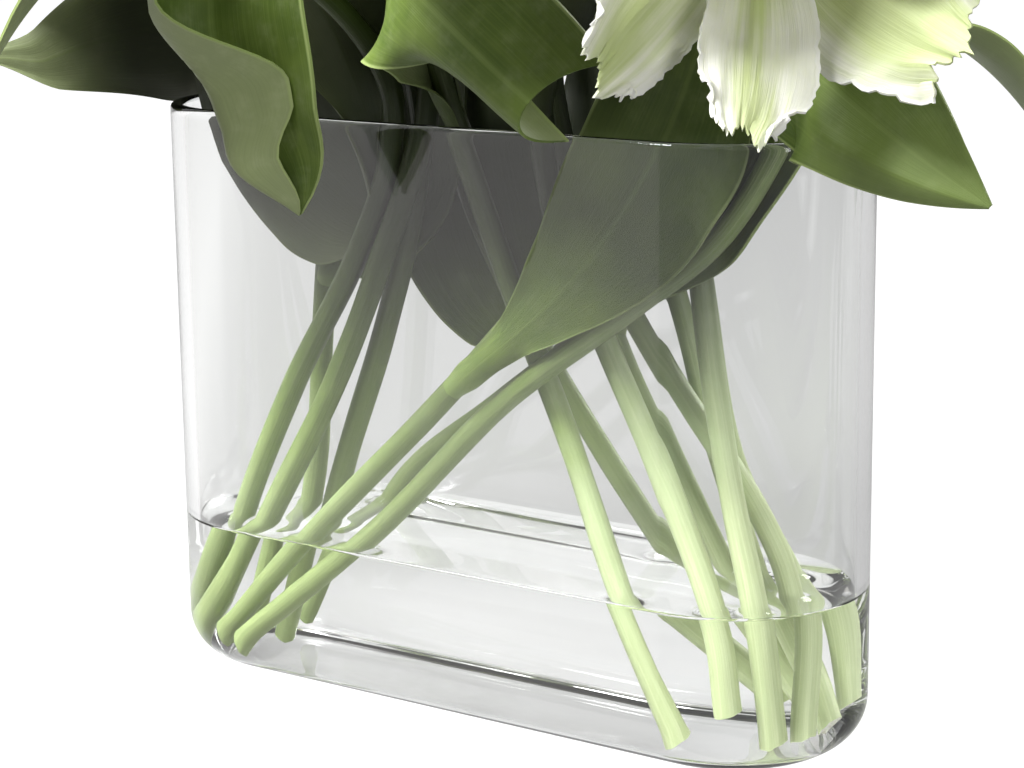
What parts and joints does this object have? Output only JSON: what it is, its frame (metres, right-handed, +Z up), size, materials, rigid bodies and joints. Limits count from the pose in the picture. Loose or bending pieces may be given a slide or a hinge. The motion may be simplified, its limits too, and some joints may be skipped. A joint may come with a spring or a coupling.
{
  "type": "tulips in a vase",
  "caption": "Bunch of white parrot tulips spreading out of an oval clear glass vase that holds a little water.",
  "frame": {"origin": "the middle of the flat underside of the vase, where it rests", "axes": "+X along the long side of the oval vase, +Z up, -Y towards the side from which the arrangement is seen"},
  "size_m": [0.3868, 0.3153, 0.3836],
  "materials": {
    "vase_glass": "clear, smooth",
    "water": "clear, wet",
    "leaf_green": "waxy",
    "petal_white": "soft, satin",
    "heart_green": "matt"
  },
  "bodies": {
    "root": {"vase": "vase_glass", "water": "water", "stem_01": "leaf_green", "petals_01": "petal_white", "heart_01": "heart_green", "stem_02": "leaf_green", "petals_02": "petal_white", "heart_02": "heart_green", "stem_03": "leaf_green", "petals_03": "petal_white", "heart_03": "heart_green", "stem_04": "leaf_green", "petals_04": "petal_white", "heart_04": "heart_green", "stem_05": "leaf_green", "petals_05": "petal_white", "heart_05": "heart_green", "stem_06": "leaf_green", "petals_06": "petal_white", "heart_06": "heart_green", "stem_07": "leaf_green", "petals_07": "petal_white", "heart_07": "heart_green", "stem_08": "leaf_green", "petals_08": "petal_white", "heart_08": "heart_green", "stem_09": "leaf_green", "petals_09": "petal_white", "heart_09": "heart_green", "stem_10": "leaf_green", "petals_10": "petal_white", "heart_10": "heart_green", "stem_11": "leaf_green", "petals_11": "petal_white", "heart_11": "heart_green", "stem_12": "leaf_green", "petals_12": "petal_white", "heart_12": "heart_green", "stem_13": "leaf_green", "petals_13": "petal_white", "heart_13": "heart_green", "stem_14": "leaf_green", "petals_14": "petal_white", "heart_14": "heart_green", "stem_15": "leaf_green", "petals_15": "petal_white", "heart_15": "heart_green"}
  },
  "joints": []
}
